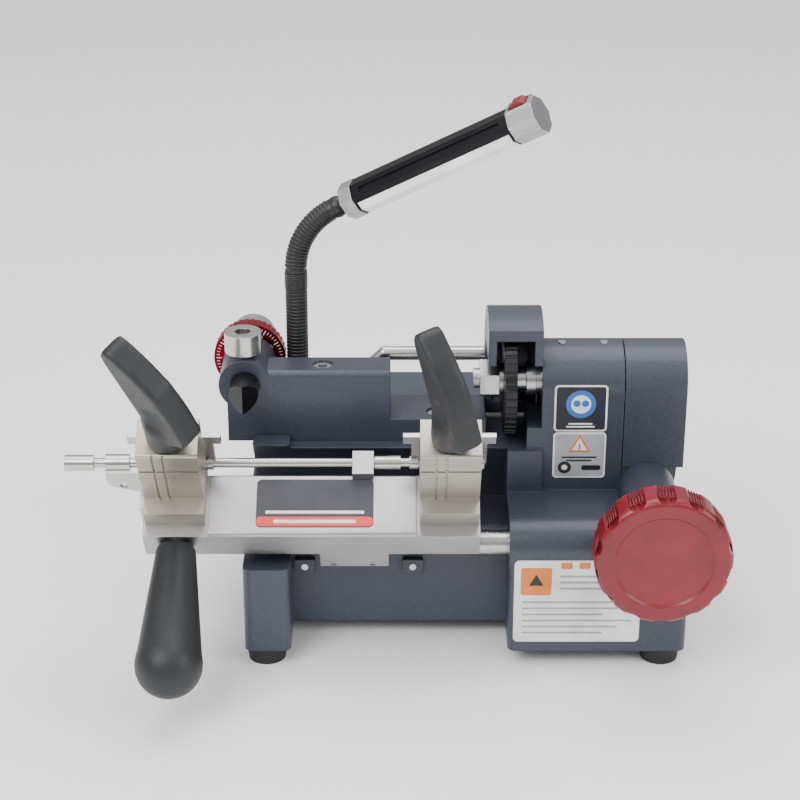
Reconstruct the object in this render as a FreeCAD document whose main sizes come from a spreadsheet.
"""Key duplicating machine: a cast base with cutter, tracer, two-vise carriage and work lamp.

Millimetres. X runs right along the spindle, Y runs back, Z runs up from the floor.
Outlines are drawn about a working origin on the tracer arm's front face; shift_x, shift_y and
floor_drop carry every piece from there to the machine's own origin on the floor.
"""
import FreeCAD, Part
import math
import os
import re
from FreeCAD import Placement, Rotation, Vector

SIZES = {
    # working origin
    "shift_x": 4.56, "shift_y": 22.51, "floor_drop": 152.0,
    # spindle, cutter and guard
    "spindle_y": 12.0, "spindle_z": 9.8, "cutter_x": 68.4, "cutter_r": 35.0, "cutter_wide": 7.3,
    "arbor_r": 6.35, "journal_r": 10.0, "guard_r": 46.0, "guard_wall": 6.0,
    "guard_left": 54.5, "head_left": 88.0, "head_right": 138.7, "barrel_r": 25.3,
    # casting
    "base_left": -96.7, "top_left": -92.0, "case_left": 67.0, "case_right": 177.5,
    "case_front": -67.7, "span_front": -30.0, "top_front": -16.0, "head_front": -13.0,
    "base_rear": 110.0, "base_foot": -141.0, "top_z": -28.0, "ledge_z": -72.0, "case_top": -56.0,
    "leg_right": -68.0, "leg_top": -84.0, "sweep_r": 60.0, "bore_end": 176.0,
    # motor and belt
    "motor_y": 60.0, "motor_z": -93.0, "motor_r": 33.0, "pulley_r": 15.0, "run_fit": 0.05,
    # tracer
    "tracer_x": -96.6, "tracer_r": 9.0, "boss_r": 16.5, "boss_rear": 43.0, "arm_top": 19.0,
    "arm_left": -108.0, "step_x": -6.0, "arm_right": 54.0, "low_top": -13.4,
    "screw_left_x": -48.5, "screw_right_x": 23.0, "screw_y": 13.0,
    # carriage, about its own shaft
    "shaft_y": -50.0, "shaft_z": -73.7, "shaft_r": 7.5, "tilt": 35.0,
    "plate_left": -155.0, "plate_right": 48.4, "plate_front": -12.0, "plate_rear": 30.0,
    "plate_low": 5.6, "plate_top": 32.5, "seat_z": 30.5,
    "vise_left_x": -135.5, "vise_right_x": 29.8, "vise_half": 18.0, "block_top": 44.7,
    "jaw_front": 6.5, "jaw_rear": 32.6, "jaw_split": 78.0, "jaw_top": 95.1, "stud_y": 19.5,
    "rod_y": 37.0, "rod_z": 34.0, "rod_r": 3.0,
    # hand wheel
    "wheel_x": 155.0, "wheel_z": -55.0, "wheel_r": 41.0, "wheel_front": -112.0, "wheel_back": -87.0,
    # lamp
    "neck_x": -66.0, "neck_y": 50.0, "neck_r": 6.5, "ball_z": 64.0, "bend_r": 45.0, "bend_turn": 66.0,
}
FOOT_PLACES = [(-83.5, -54), (163, -54), (-81, 92), (120, 92)]
# the wing knob's side view, in the carriage's own frame
KNOB_OUTLINE = [(12, 104), (12, 118), (34, 154), (35.5, 160), (33, 166), (28, 167), (12, 161), (-4, 151),
                (-15, 137), (-23.5, 120), (-22, 114), (-12, 108), (-12, 104)]
# the far end of the work lamp, and how far its switch is turned about the lamp towards the front
LAMP_TIP = Vector(83.0, 0.0, 184.0)
SWITCH_SPIN = 45

doc = FreeCAD.newDocument("key_machine")
sheet = doc.addObject("Spreadsheet::Sheet", "sizes")
for row, (alias, value) in enumerate(SIZES.items(), 1):
    sheet.set(f"A{row}", alias)
    sheet.set(f"B{row}", str(value))
    sheet.setAlias(f"B{row}", alias)
doc.recompute()
NODES = []


def bind(piece, prop, formula):
    """Tie a property to a formula written with the sheet's aliases."""
    piece.setExpression(prop, re.sub(r"[a-z]\w+", lambda found: "sizes." + found.group(), str(formula)))


def box(x0, x1, y0, y1, z0, z1):
    piece = doc.addObject("Part::Box", "block")
    for prop, axis, low, high in (("Length", "x", x0, x1), ("Width", "y", y0, y1), ("Height", "z", z0, z1)):
        bind(piece, prop, f"({high}) - ({low})")
        bind(piece, "Placement.Base." + axis, low)
    return piece


TURNS = {
    "x": Rotation(Vector(0, 1, 0), 90),
    "y": Rotation(Vector(1, 0, 0), -90),
    "z": Rotation(),
}


def along(piece, axis, start, first, second):
    """Lay a Z-built piece along an axis from start, centred on the two other axes."""
    piece.Placement = Placement(Vector(), TURNS[axis])
    bind(piece, "Placement.Base." + axis, start)
    others = [name for name in "xyz" if name != axis]
    bind(piece, "Placement.Base." + others[0], first)
    bind(piece, "Placement.Base." + others[1], second)
    return piece


def rod(axis, radius, start, end, first, second):
    piece = doc.addObject("Part::Cylinder", "rod")
    bind(piece, "Radius", radius)
    bind(piece, "Height", f"({end}) - ({start})")
    return along(piece, axis, start, first, second)


def cone(axis, radius_start, radius_end, start, end, first, second):
    piece = doc.addObject("Part::Cone", "cone")
    bind(piece, "Radius1", radius_start)
    bind(piece, "Radius2", radius_end)
    bind(piece, "Height", f"({end}) - ({start})")
    return along(piece, axis, start, first, second)


def prism(axis, sides, corner_r, start, end, first, second):
    piece = doc.addObject("Part::Prism", "prism")
    piece.Polygon = sides
    bind(piece, "Circumradius", corner_r)
    bind(piece, "Height", f"({end}) - ({start})")
    return along(piece, axis, start, first, second)


def ball(radius, x, y, z):
    piece = doc.addObject("Part::Sphere", "ball")
    bind(piece, "Radius", radius)
    return along(piece, "z", z, x, y)


def join(*pieces):
    whole = doc.addObject("Part::MultiFuse", "join")
    whole.Shapes = list(pieces)
    whole.Refine = True
    return whole


def cut(base, *tools):
    whole = doc.addObject("Part::Cut", "cut")
    whole.Base = base
    whole.Tool = tools[0] if len(tools) == 1 else join(*tools)
    return whole


def overlap(base, tool):
    whole = doc.addObject("Part::Common", "common")
    whole.Base = base
    whole.Tool = tool
    return whole


def soften(base, radius, wanted):
    """Round every edge whose two ends pass the test wanted(start, end)."""
    doc.recompute()
    edges = []
    for number, edge in enumerate(base.Shape.Edges, 1):
        ends = [vertex.Point for vertex in edge.Vertexes]
        if len(ends) == 2 and wanted(ends[0], ends[1]):
            edges.append((number, radius, radius))
    whole = doc.addObject("Part::Fillet", "soften")
    whole.Base = base
    whole.Edges = edges
    return whole


def upright(start, end):
    return abs(start.z - end.z) > 3 and (start - end).cross(Vector(0, 0, 1)).Length < 0.01


def lengthways(start, end):
    return abs(start.x - end.x) > 5 and (start - end).cross(Vector(1, 0, 0)).Length < 0.01


def finish(label, piece):
    """Name a sub-part of the standing machine and carry it to the machine's origin."""
    piece.Label = label
    bind(piece, "Placement.Base.x", "shift_x")
    bind(piece, "Placement.Base.y", "shift_y")
    bind(piece, "Placement.Base.z", "floor_drop")
    NODES.append(piece)


def finish_tilted(label, piece):
    """Name a sub-part drawn about the carriage shaft, and tilt it to the rest position."""
    piece.Label = label
    piece.Placement = Placement(Vector(), Rotation(Vector(1, 0, 0), SIZES["tilt"]))
    bind(piece, "Placement.Base.x", "shift_x")
    bind(piece, "Placement.Base.y", "shift_y + shaft_y")
    bind(piece, "Placement.Base.z", "floor_drop + shaft_z")
    NODES.append(piece)


def around_x(radius, start, end):
    return rod("x", radius, start, end, "spindle_y", "spindle_z")


# ---- casting and what is fixed to it ----

def base_casting():
    low = box("base_left", "head_right", "span_front", "base_rear", "base_foot", "ledge_z")
    low = soften(low, 8.0, upright)
    top = box("top_left", "head_left + 1", "top_front", "base_rear", "ledge_z", "top_z")
    top = soften(top, 6.0, lambda a, b: upright(a, b) and a.x < 0)
    rear = box("head_left", "head_right", "head_front", "base_rear", "ledge_z", "top_z")
    leg = box("base_left", "leg_right", "case_front", "span_front + 20", "base_foot", "leg_top")
    leg = soften(leg, 5.0, upright)
    case = box("case_left", "case_right", "case_front", "head_front", "base_foot", "shaft_z")
    case = soften(case, 5.0, upright)
    nose = rod("x", "17.7", "case_left", "case_right", "shaft_y", "shaft_z")
    deck = box("case_left", "case_right", "shaft_y", "head_front", "shaft_z - 1", "case_top")
    head = box("head_left", "head_right", "head_front", "spindle_y + barrel_r", "ledge_z", "spindle_z")
    barrel = around_x("barrel_r", "head_left", "head_right")
    web = box("head_left - 9", "head_left + 1", "head_front", "spindle_y + 14", "ledge_z", "low_top")
    wheel_boss = rod("y", 18, -82, "head_front", "wheel_x", "wheel_z")
    pad = box("top_left", -69, "top_front", "-0.5", "top_z", "top_z + 4")
    solid = join(low, top, rear, leg, case, nose, deck, head, barrel, web, wheel_boss, soften(pad, 3.0, upright))
    sweep = overlap(rod("x", "sweep_r", "base_left - 9", "case_left", "shaft_y", "shaft_z"),
                    box("base_left - 9", "case_left", -130, 30, "ledge_z", 0))
    cavity = box(-86, 120, 15, 103, "base_foot - 1", -36)
    cover_recess = box(-90, 124, 11, 106, "base_foot - 1", "base_foot + 3")
    shaft_bore = rod("x", "shaft_r + 0.1", "case_left - 1", "bore_end", "shaft_y", "shaft_z")
    bush_bore = rod("x", 10, "case_left - 1", "case_left + 12", "shaft_y", "shaft_z")
    wheel_bore = rod("y", "6 + run_fit", -83, -28, "wheel_x", "wheel_z")
    pinion_room = rod("y", 11.4, -62, -38, "wheel_x", "wheel_z")
    spindle_bore = around_x(13, "head_left - 10", "head_right + 1")
    seats = [around_x(16, "head_left - 1", "head_left + 10"), around_x(16, "head_right - 10", "head_right + 1")]
    motor_bore = rod("x", 8, 119, "head_right + 1", "motor_y", "motor_z")
    feet = [rod("z", 2.5, "base_foot - 1", -128, x, y) for x, y in FOOT_PLACES]
    taps = [rod("z", 3, -40, "top_z + 1", x, "screw_y") for x in ("screw_left_x", "screw_right_x")]
    inlet = box(60, 88, 100, 111, -120, -100)
    rocker_hole = box("base_left - 1", -85, 40, 54, -112, -88)
    finish("base_casting", cut(solid, sweep, cavity, cover_recess, shaft_bore, bush_bore, wheel_bore,
                               pinion_room, spindle_bore, motor_bore, inlet, rocker_hole, *seats, *feet, *taps))




def bottom_cover():
    vents = [box(x, x + 4, 40, 80, "base_foot - 1", "base_foot + 4") for x in range(-60, 0, 12)]
    screws = [rod("z", 2.5, "base_foot - 1", "base_foot + 4", x, y) for x, y in FOOT_PLACES]
    finish("bottom_cover", cut(box(-89.8, 123.8, 11.2, 105.8, "base_foot", "base_foot + 2.9"), *vents, *screws))


def rubber_feet():
    for name, (x, y) in zip(("front_left", "front_right", "rear_left", "rear_right"), FOOT_PLACES):
        foot = cone("z", 11.5, 13.3, "-floor_drop", "base_foot", x, y)
        finish("foot_" + name, cut(foot, rod("z", 6, "-floor_drop - 1", "-floor_drop + 5", x, y),
                                   rod("z", 2.5, "-floor_drop", "base_foot + 1", x, y)))
        head = rod("z", 5.5, "-floor_drop + 2", "-floor_drop + 5", x, y)
        finish("foot_screw_" + name, join(head, rod("z", 2.5, "-floor_drop + 4", -130, x, y)))


def power_parts():
    shell = box(60, 88, 100.5, 110, -120, -100)
    socket = box(63, 85, 103, 111, -117, -103)
    pins = [box(x, x + 2, 102.5, 109, -112, -107) for x in (67, 73, 79)]
    finish("power_inlet", join(cut(shell, socket), *pins))
    frame = box("base_left - 1.5", -86, 40, 54, -112, -88)
    rim = box("base_left - 1.5", "base_left", 37, 57, -115, -85)
    finish("power_bezel", cut(join(frame, rim), box("base_left - 2", -88, 42, 52, -110, -90)))
    body = rod("y", 9.5, 42.3, 51.7, "base_left + 2", -100)
    keep = box("base_left - 8", -93, 42.3, 51.7, -109.5, -90.5)
    finish("power_rocker", overlap(body, keep))


def arm_and_tracer():
    high = box("arm_left", "step_x", 0, 27, "top_z", "arm_top")
    high = soften(high, 4.0, lambda a, b: lengthways(a, b) and a.z > 0)
    boss = rod("y", "boss_r", 0, "boss_rear", "tracer_x", "spindle_z")
    low = box("step_x - 8", "arm_right", 0, 38, "top_z", "low_top")
    solid = join(high, boss, low)
    pin_bore = rod("y", "tracer_r + run_fit", -1, "boss_rear + 1", "tracer_x", "spindle_z")
    lock_hole = rod("z", 4, 15, 30, -98, 13)
    holes = []
    for x, top in (("screw_left_x", "arm_top"), ("screw_right_x", "low_top")):
        holes.append(rod("z", 6.35, f"{top} - 7", f"{top} + 1", x, "screw_y"))
        holes.append(rod("z", 3, "top_z - 1", f"{top} - 6", x, "screw_y"))
    finish("tracer_arm", cut(solid, pin_bore, lock_hole, *holes))
    for name, x, top in (("left", "screw_left_x", "arm_top"), ("right", "screw_right_x", "low_top")):
        head = rod("z", 6.2, f"{top} - 7", f"{top} - 1.2", x, "screw_y")
        shank = rod("z", 3, -39, f"{top} - 6.9", x, "screw_y")
        finish("arm_screw_" + name, cut(join(head, shank),
                                        prism("z", 6, 3.2, f"{top} - 4", f"{top}", x, "screw_y")))
    neck = rod("z", 4, 19.5, 29, -98, 13)
    head = rod("z", 11.5, 28, 41, -98, 13)
    finish("tracer_lock_screw", cut(join(neck, head), prism("z", 6, 5.5, 34, 42, -98, 13)))
    pin = rod("y", "tracer_r", -24, 44, "tracer_x", "spindle_z")
    tail = rod("y", 5, 43, 80, "tracer_x", "spindle_z")
    finish("tracer_pin", cut(join(pin, tail), wedge_cut(-1), wedge_cut(1)))
    ring = rod("y", 23, 45, 55, "tracer_x", "spindle_z")
    grips = [rod("y", 1.0, 47, 56, f"tracer_x + {23.4 * math.cos(a):.4f}",
                 f"spindle_z + {23.4 * math.sin(a):.4f}")
             for a in (2 * math.pi * turn / 36 for turn in range(36))]
    finish("dial_ring", cut(ring, rod("y", "5 + run_fit", 44, 56, "tracer_x", "spindle_z"), *grips))
    cap = soften_ends(rod("y", 14.7, 55, 86, "tracer_x", "spindle_z"), 1.5)
    finish("dial_cap", cut(cap, rod("y", "5 + run_fit", 54, 81.5, "tracer_x", "spindle_z")))


def wedge_cut(side):
    """The block that bevels one side of the tracer's upright knife edge."""
    block = doc.addObject("Part::Box", "bevel")
    block.Length = 30
    block.Width = 30
    block.Height = 30
    turn = Rotation(Vector(0, 0, 1), 50 if side > 0 else 130)
    block.Placement = Placement(Vector(0, -24, -5), turn)
    if side > 0:
        block.Placement = Placement(Vector(0, -24, -5) + turn.multVec(Vector(0, -30, 0)), turn)
    bind(block, "Placement.Base.x", f"tracer_x + {block.Placement.Base.x:.4f}")
    return block


def soften_ends(base, radius):
    """Round the circular edges at both ends of a turned piece."""
    doc.recompute()
    whole = doc.addObject("Part::Fillet", "soften")
    whole.Base = base
    whole.Edges = [(number, radius, radius) for number, edge in enumerate(base.Shape.Edges, 1)
                   if len(edge.Vertexes) == 1]
    return whole


# ---- spindle, guard, belt drive ----

def spindle_parts():
    shaft = join(around_x("arbor_r", 46, 80), around_x("journal_r", 82, 160), around_x(11, 79, 85),
                 around_x(8, "cutter_x + cutter_wide / 2", 80))
    finish("spindle_shaft", shaft)
    left = "cutter_x - cutter_wide / 2"
    right = "cutter_x + cutter_wide / 2"
    disc = around_x("cutter_r", left, right)
    teeth = []
    for turn in range(40):
        angle = 2 * math.pi * turn / 40
        teeth.append(rod("x", 1.3, f"{left} - 1", f"{right} + 1", f"spindle_y + {35.5 * math.cos(angle):.4f}",
                         f"spindle_z + {35.5 * math.sin(angle):.4f}"))
    finish("cutter_wheel", cut(disc, around_x("arbor_r", f"{left} - 1", f"{right} + 1"), *teeth))
    washer = around_x(10, 62, left)
    nut = prism("x", 6, 12.7, 50, 62, "spindle_y", "spindle_z")
    finish("cutter_nut", cut(join(nut, washer), around_x("arbor_r", 49, 70)))
    for name, start in (("front", "head_left"), ("rear", "head_right - 10")):
        bore = around_x("journal_r + run_fit", f"{start} - 1", f"{start} + 11")
        finish("spindle_bearing_" + name, cut(around_x(16, start, f"{start} + 10"), bore))
    pulley = cut(join(around_x(22, 143, 146), around_x(19, 145, 159), around_x(22, 158, 161)),
                 around_x("journal_r", 142, 162))
    cap = around_x("journal_r + 4", 160, 164)
    finish("spindle_pulley", cut(join(pulley, cap), around_x("journal_r", 142, 162)))


def guard_and_bar():
    outer = around_x("guard_r", "guard_left", "head_left")
    inner = around_x("guard_r - guard_wall", "guard_left + 5", "head_left - 5")
    front = box("guard_left - 1", "head_left + 1", -40, -10, -40, 60)
    below = box("guard_left - 1", "head_left + 1", -11, 40, -45, 27)
    floor = box("guard_left - 1", "head_left + 1", 30, 70, -45, "top_z")
    finish("cutter_guard", cut(outer, inner, front, below, floor))
    level = rod("x", 4.5, -10, "guard_left", 45, 13)
    slope = doc.addObject("Part::Cylinder", "slope")
    slope.Radius = 4.5
    slope.Height = math.hypot(12, 12)
    slope.Placement = Placement(Vector(-22, 45, 1), Rotation(Vector(0, 1, 0), 45))
    drop = rod("z", 4.5, "top_z", 1, -22, 45)
    finish("carry_bar", join(level, slope, drop, ball(4.5, -10, 45, 13), ball(4.5, -22, 45, 1)))


def belt_cover():
    def shell(margin, start, end):
        top = around_x(f"barrel_r - {margin}", start, end)
        low = rod("x", 36 - margin, start, end, "motor_y", "motor_z")
        front = box(start, end, f"head_front + {margin}", 20, -40.4 + margin, "spindle_z")
        body = slanted_block(start, end, 25.3 - margin)
        return join(top, low, front, body)
    outer = shell(0, "head_right + 0.6", "case_right")
    inner = shell(2.5, "head_right", "case_right - 2.5")
    finish("belt_cover", cut(outer, inner, box("head_right - 1", "case_right + 1", -40, "head_front", -80, 40)))


def slanted_block(start, end, half):
    """A block along the line from the spindle to the motor, half wide each side."""
    span_y = SIZES["motor_y"] - SIZES["spindle_y"]
    span_z = SIZES["motor_z"] - SIZES["spindle_z"]
    block = doc.addObject("Part::Box", "link")
    bind(block, "Length", f"({end}) - ({start})")
    block.Width = 2 * half
    block.Height = math.hypot(span_y, span_z)
    turn = Rotation(Vector(1, 0, 0), math.degrees(math.atan2(-span_y, span_z)))
    corner = turn.multVec(Vector(0, -half, 0))
    block.Placement = Placement(corner, turn)
    bind(block, "Placement.Base.x", start)
    bind(block, "Placement.Base.y", f"spindle_y + {corner.y:.4f}")
    bind(block, "Placement.Base.z", f"spindle_z + {corner.z:.4f}")
    return block


def motor_parts():
    def at(radius, start, end):
        return rod("x", radius, start, end, "motor_y", "motor_z")
    can = join(at("motor_r", 20, 112), at(22, 14, 20.5), at(20, 111, 120))
    finish("motor_body", cut(can, at("5 + run_fit", 90, 121)))
    flat = box(161, 163, 50, 58, -99, -87)
    finish("motor_shaft", cut(at(5, 91, 162), flat))
    pulley = join(at("pulley_r + 3", 143, 146), at("pulley_r", 145, 159), at("pulley_r + 3", 158, 161))
    finish("motor_pulley", cut(pulley, at(5, 142, 162)))
    outer = join(around_x(21, 147, 157), at(17.3, 147, 157), belt_run(21, 17.3))
    inner = join(around_x(19.4, 146, 158), at(15.4, 146, 158), belt_run(19.4, 15.4, 146, 158))
    finish("drive_belt", cut(outer, inner))


def belt_run(big, small, start=147, end=157):
    """The flat-sided body between two pulleys, as the solid under both outer tangents."""
    y0, z0 = SIZES["spindle_y"], SIZES["spindle_z"]
    y1, z1 = SIZES["motor_y"], SIZES["motor_z"]
    span = math.hypot(y1 - y0, z1 - z0)
    line = math.atan2(z1 - z0, y1 - y0)
    lean = math.acos((big - small) / span)
    corners = []
    for side, centre_y, centre_z, radius in ((1, y0, z0, big), (1, y1, z1, small),
                                             (-1, y1, z1, small), (-1, y0, z0, big)):
        angle = line + side * lean
        corners.append(Vector(start, centre_y + radius * math.cos(angle), centre_z + radius * math.sin(angle)))
    face = Part.Face(Part.makePolygon(corners + corners[:1]))
    piece = doc.addObject("Part::Feature", "belt_run")
    piece.Shape = face.extrude(Vector(end - start, 0, 0))
    return piece


# ---- carriage ----

def carriage_shaft_part():
    bar = rod("x", "shaft_r", -140, 160, "shaft_y", "shaft_z")
    grooves = [cut(rod("x", 9, x, x + 2.2, "shaft_y", "shaft_z"), rod("x", 6, x - 1, x + 4, "shaft_y", "shaft_z"))
               for x in range(100, 158, 5)]
    finish("carriage_shaft", cut(bar, *grooves))
    bush = rod("x", 10, "case_left", "case_left + 12", "shaft_y", "shaft_z")
    finish("shaft_bush", cut(bush, rod("x", "shaft_r + run_fit", 60, 90, "shaft_y", "shaft_z")))


def carriage_plate():
    plate = box("plate_left", "plate_right", "plate_front", "plate_rear", "plate_low", "plate_top")
    plate = soften(plate, 2.5, lambda a, b: lengthways(a, b))
    tab = box(-49, -7, "plate_front", 12, -11.4, "plate_low + 4")
    ear = box(-29, -16, "plate_rear - 4", 42, 27, 40)
    solid = join(plate, soften(tab, 3.0, lambda a, b: lengthways(a, b) and a.z < 0), ear)
    seats = [box(f"{x} - 20", f"{x} + 20", "plate_front - 1", "plate_rear + 1", "seat_z", "plate_top + 1")
             for x in ("vise_left_x", "vise_right_x")]
    shaft_room = rod("x", "shaft_r + 0.4", "plate_left - 1", "plate_right + 1", 0, 0)
    left_half = cut(shaft_room, box(-49, -7, -9, 9, -9, 9))
    bearing = rod("x", "shaft_r + run_fit", -50, -6, 0, 0)
    ear_bore = rod("x", "rod_r + run_fit", -30, -15, "rod_y", "rod_z")
    studs = [rod("z", 4, 20, 40, x, "stud_y") for x in ("vise_left_x", "vise_right_x")]
    tab_holes = [rod("y", 1.8, "plate_front - 1", "plate_front + 3", x, -7) for x in (-41, -17)]
    stud_hole = rod("y", 6, "plate_front - 1", 8, "vise_left_x", 19)
    finish_tilted("carriage_plate", cut(solid, left_half, bearing, ear_bore, stud_hole, *seats, *studs, *tab_holes))
    label = box(-87, -16, -6.5, 26, "plate_top", "plate_top + 0.4")
    label = soften(label, 3.0, lambda a, b: abs(a.z - b.z) > 0.3)
    finish_tilted("plate_label", label)


def vises():
    for side, x in (("left", "vise_left_x"), ("right", "vise_right_x")):
        low, high = f"{x} - vise_half", f"{x} + vise_half"
        block = box(low, high, -4, "jaw_rear", "seat_z", "block_top")
        jaw = box(low, high, "jaw_front", "jaw_rear", "block_top - 1", "jaw_split")
        grooves = [box(f"{x} - {gap}", f"{x} - {gap - 1.5}", "jaw_front - 1", "jaw_front + 1.2",
                       "block_top", "jaw_split + 1") for gap in (9, 3)]
        mouth = box(f"{x} - 19", f"{x} + 19", "jaw_front - 1", "jaw_front + 2", "jaw_split - 1.6", "jaw_split + 1")
        key_slot = box(f"{x} - 19", f"{x} + 19", "jaw_rear - 7", "jaw_rear + 1", "jaw_split - 2", "jaw_split + 1")
        stud_bore = rod("z", 4, 20, 90, x, "stud_y")
        finish_tilted("lower_jaw_" + side, cut(join(block, jaw), key_slot, mouth, stud_bore, *grooves))
        upper = box(low, high, "jaw_front", "jaw_rear", "jaw_split", "jaw_top")
        upper = soften(upper, 1.6, lambda a, b: lengthways(a, b) and a.z > 90)
        grooves = [box(f"{x} - {gap}", f"{x} - {gap - 1.5}", "jaw_front - 1", "jaw_front + 1.2",
                       "jaw_split - 1", "jaw_top + 1") for gap in (9, 3)]
        finish_tilted("upper_jaw_" + side, cut(upper, rod("z", "4.3", 70, 100, x, "stud_y"), *grooves))
        slot = box(f"{x} - 5", f"{x} + 5", "stud_y - 0.6", "stud_y + 0.6", 126.5, 129)
        finish_tilted("clamp_stud_" + side, cut(rod("z", 4, 20, 128, x, "stud_y"), slot))
        wing_knob(side, x)




def flat_plate(outline, half):
    """A plate standing in the local XZ plane, half thick each side of it."""
    corners = [Vector(across, -half, up) for across, up in outline]
    plate = doc.addObject("Part::Feature", "plate")
    plate.Shape = Part.Face(Part.makePolygon(corners + corners[:1])).extrude(Vector(0, 2 * half, 0))
    return plate


def wing_knob(side, x):
    """A round collar under a slanting wing, with a finger dent in each flank."""
    azimuth = 142 if side == "left" else 117
    collar = cone("z", 12.25, 12, "jaw_top + 0.3", 118, x, "stud_y")
    wing = flat_plate(KNOB_OUTLINE, 8)
    spin = Rotation(Vector(0, 0, 1), azimuth)
    wing.Placement = Placement(Vector(), spin)
    bind(wing, "Placement.Base.x", x)
    bind(wing, "Placement.Base.y", "stud_y")
    dents = []
    for flank in (1, -1):
        centre = spin.multVec(Vector(0, flank * 22, 0))
        dents.append(ball(16.5, f"{x} + {centre.x:.4f}", f"stud_y + {centre.y:.4f}", 129))
    bore = rod("z", 4.3, 90, 131, x, "stud_y")
    finish_tilted("wing_knob_" + side, cut(join(collar, wing), bore, *dents))


def handle():
    x = "vise_left_x"
    neck = cone("y", 20.2, 12, -92, "plate_front - 1", x, 19)
    tip = ball(20.4, x, -90, 19)
    grip = cut(join(neck, tip), rod("y", 4, -60, 0, x, 19))
    finish_tilted("handle_grip", grip)
    finish_tilted("handle_stud", join(rod("y", 4, -59, 0, x, 19), rod("y", 6, "plate_front - 1", 7.5, x, 19)))


def gauge():
    def bar(radius, start, end):
        return rod("x", radius, start, end, "rod_y", "rod_z")
    knob = bar(5, -205, -187)
    rod_long = bar("rod_r", -190, 51.5)
    forks = []
    for x in ("vise_left_x", "vise_right_x"):
        forks.append(box(f"{x} - 28", f"{x} + 28", 36, 39, 59, 67))
        for offset in (-20, 20):
            forks.append(box(f"{x} + {offset} - 3", f"{x} + {offset} + 3", 36, 39, 34, 60))
            forks.append(bar(4.4, f"{x} + {offset} - 4", f"{x} + {offset} + 1.5"))
    finish_tilted("gauge_forks", join(knob, rod_long, *forks))
    collar = cut(bar(4.6, -15.5, 0.4), bar("rod_r", -17, 5))
    finish_tilted("gauge_collar", collar)
    tube = bar(5.5, -180, -165)
    strap = flat_plate([(-180, 34), (-180, 21), (-176, 17), (-155, 8), (-155, 34)], 1)
    strap.Placement.Base = Vector(0, 30.5, 0)
    rise = box(-180, -165, 29.5, 37, 24, 34)
    hold = box("plate_left - 3", "plate_left", 8, 30.5, 8, 30)
    hole = rod("y", 2.5, 28, 33, -170, 18)
    finish_tilted("gauge_bracket", cut(join(tube, strap, rise, hold), hole,
                                         bar("rod_r + run_fit", -190, -150)))


# ---- hand wheel ----

def wheel_parts():
    def at(radius, start, end):
        return rod("y", radius, start, end, "wheel_x", "wheel_z")
    disc = soften_ends(at("wheel_r", "wheel_front", "wheel_back"), 4.5)
    scallops = [rod("y", 8, -115, -84, f"wheel_x + {46.2 * math.cos(a):.4f}", f"wheel_z + {46.2 * math.sin(a):.4f}")
                for a in (2 * math.pi * (turn + 0.5) / 14 for turn in range(14))]
    recess = cone("y", 30, 28.5, "wheel_front - 0.01", "wheel_front + 1.2", "wheel_x", "wheel_z")
    finish("hand_wheel", cut(disc, recess, at(6, "wheel_front + 6", "wheel_back + 1"), *scallops))
    finish("wheel_shaft", join(at(6, "wheel_front + 6", -30), cut(at(9, "wheel_back", -82.4), at(5, -90, -80))))
    pinion = cut(at(10.9, -60, -40), at(6, -61, -39))
    teeth = [rod("y", 1, -61, -39, f"wheel_x + {11 * math.cos(a):.4f}", f"wheel_z + {11 * math.sin(a):.4f}")
             for a in (2 * math.pi * turn / 14 for turn in range(14))]
    finish("wheel_pinion", cut(pinion, *teeth))


# ---- lamp ----

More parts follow.
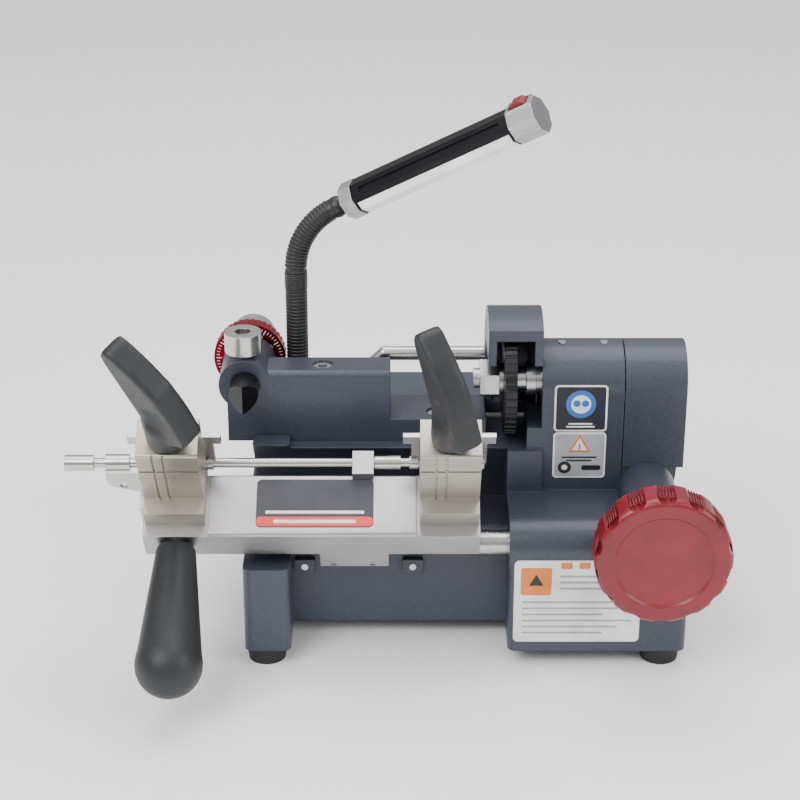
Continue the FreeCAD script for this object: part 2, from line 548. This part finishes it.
def lamp_parts():
    nut = prism("z", 6, 10.5, "top_z", "top_z + 8", "neck_x", "neck_y")
    lower = join(nut, rod("z", "neck_r", "top_z + 7", 59, "neck_x", "neck_y"),
                 rod("y", 4, "neck_y - 4.5", "neck_y + 4.5", "neck_x", "ball_z"),
                 rod("z", 3, 58, "ball_z", "neck_x", "neck_y"))
    finish("gooseneck_lower", lower)
    bend = doc.addObject("Part::Torus", "bend")
    bind(bend, "Radius1", "bend_r")
    bind(bend, "Radius2", "neck_r")
    bend.Angle3 = SIZES["bend_turn"]
    bend.Placement = Placement(Vector(), Rotation(Vector(-1, 0, 0), Vector(0, 0, 1), Vector(0, 1, 0), "XYZ"))
    bind(bend, "Placement.Base.x", "neck_x + bend_r")
    bind(bend, "Placement.Base.y", "neck_y")
    bind(bend, "Placement.Base.z", "ball_z + 5")
    start = rod("z", "neck_r", "ball_z - 1.5", "ball_z + 5", "neck_x", "neck_y")
    turn = math.radians(SIZES["bend_turn"])
    end = Vector(SIZES["neck_x"] + SIZES["bend_r"] * (1 - math.cos(turn)), SIZES["neck_y"],
                 SIZES["ball_z"] + 5 + SIZES["bend_r"] * math.sin(turn))
    knuckle = ball(7.0, f"{end.x:.4f}", f"{end.y:.4f}", f"{end.z:.4f}")
    aim = (LAMP_TIP - end).normalize()
    lean = Vector(0, 0.6, 1)
    rise = (lean - aim * aim.dot(lean)).normalize()
    frame = Placement(end, Rotation(rise.cross(aim), rise, aim, "XYZ"))
    neck = doc.addObject("Part::Cylinder", "lamp_neck")
    neck.Radius = 5
    neck.Height = 9
    neck.Placement = frame
    whole = join(start, bend, knuckle, neck)
    finish("gooseneck_upper", cut(whole, rod("y", "4 + run_fit", "neck_y - 5", "neck_y + 5", "neck_x", "ball_z"),
                                  rod("z", 4.6, "ball_z - 5", "ball_z", "neck_x", "neck_y")))

    def bar(low, high, corner=12.0):
        piece = doc.addObject("Part::Prism", "lamp_bar")
        piece.Polygon = 8
        piece.Circumradius = corner
        piece.Height = high - low
        piece.Placement = frame.multiply(Placement(Vector(0, 0, low), Rotation(Vector(0, 0, 1), 22.5)))
        return piece

    def block(x0, x1, y0, y1, z0, z1, spin=0):
        """A box in the lamp's own frame, turned by spin about its length."""
        piece = doc.addObject("Part::Box", "lamp_block")
        piece.Length = x1 - x0
        piece.Width = y1 - y0
        piece.Height = z1 - z0
        turned = frame.multiply(Placement(Vector(), Rotation(Vector(0, 0, 1), spin)))
        piece.Placement = turned.multiply(Placement(Vector(x0, y0, z0), Rotation()))
        return piece

    length = (LAMP_TIP - end).Length
    finish("lamp_cap_left", cut(bar(9, 18), block(-1.5, 1.5, -1.5, 1.5, 17, 19)))
    tray = block(-8, 8, -13, -6, 20, length - 20)
    slot = block(-14, -9.2, -1.5, 1.5, 24, length - 24)
    finish("lamp_body", cut(bar(18, length - 18, 11.5), tray, slot))
    finish("lamp_diffuser", overlap(block(-8, 8, -12, -6, 20, length - 20), bar(20, length - 20, 11.5)))
    well = block(-4.6, 4.6, 6, 14, length - 15.6, length - 2.4, SWITCH_SPIN)
    rim = block(-5.8, 5.8, 9, 12.2, length - 17, length - 1, SWITCH_SPIN)
    finish("lamp_cap_right", cut(join(bar(length - 18, length), rim), well))
    rocker = doc.addObject("Part::Cylinder", "rocker")
    rocker.Radius = 6.2
    rocker.Height = 8.6
    hub = Placement(Vector(-4.3, 8.8, length - 9), Rotation(Vector(0, 1, 0), 90))
    spin = Placement(Vector(), Rotation(Vector(0, 0, 1), SWITCH_SPIN))
    rocker.Placement = frame.multiply(spin).multiply(hub)
    keep = block(-4.3, 4.3, 7.1, 14.4, length - 15.0, length - 3.0, SWITCH_SPIN)
    finish("lamp_rocker", overlap(rocker, keep))


base_casting()
bottom_cover()
rubber_feet()
power_parts()
arm_and_tracer()
spindle_parts()
guard_and_bar()
belt_cover()
motor_parts()
carriage_shaft_part()
carriage_plate()
vises()
handle()
gauge()
wheel_parts()
lamp_parts()
doc.recompute()

problems = [piece.Label for piece in doc.Objects if {"Invalid", "Error"} & set(piece.State)]
for piece in NODES:
    if piece.Shape.isNull() or not piece.Shape.isValid():
        problems.append(piece.Label)
if problems:
    raise RuntimeError("these pieces failed: " + ", ".join(problems))
os.makedirs("parts", exist_ok=True)
for piece in NODES:
    piece.Shape.exportStep(f"parts/{piece.Label}.step")
print(len(NODES), "sub-parts written")
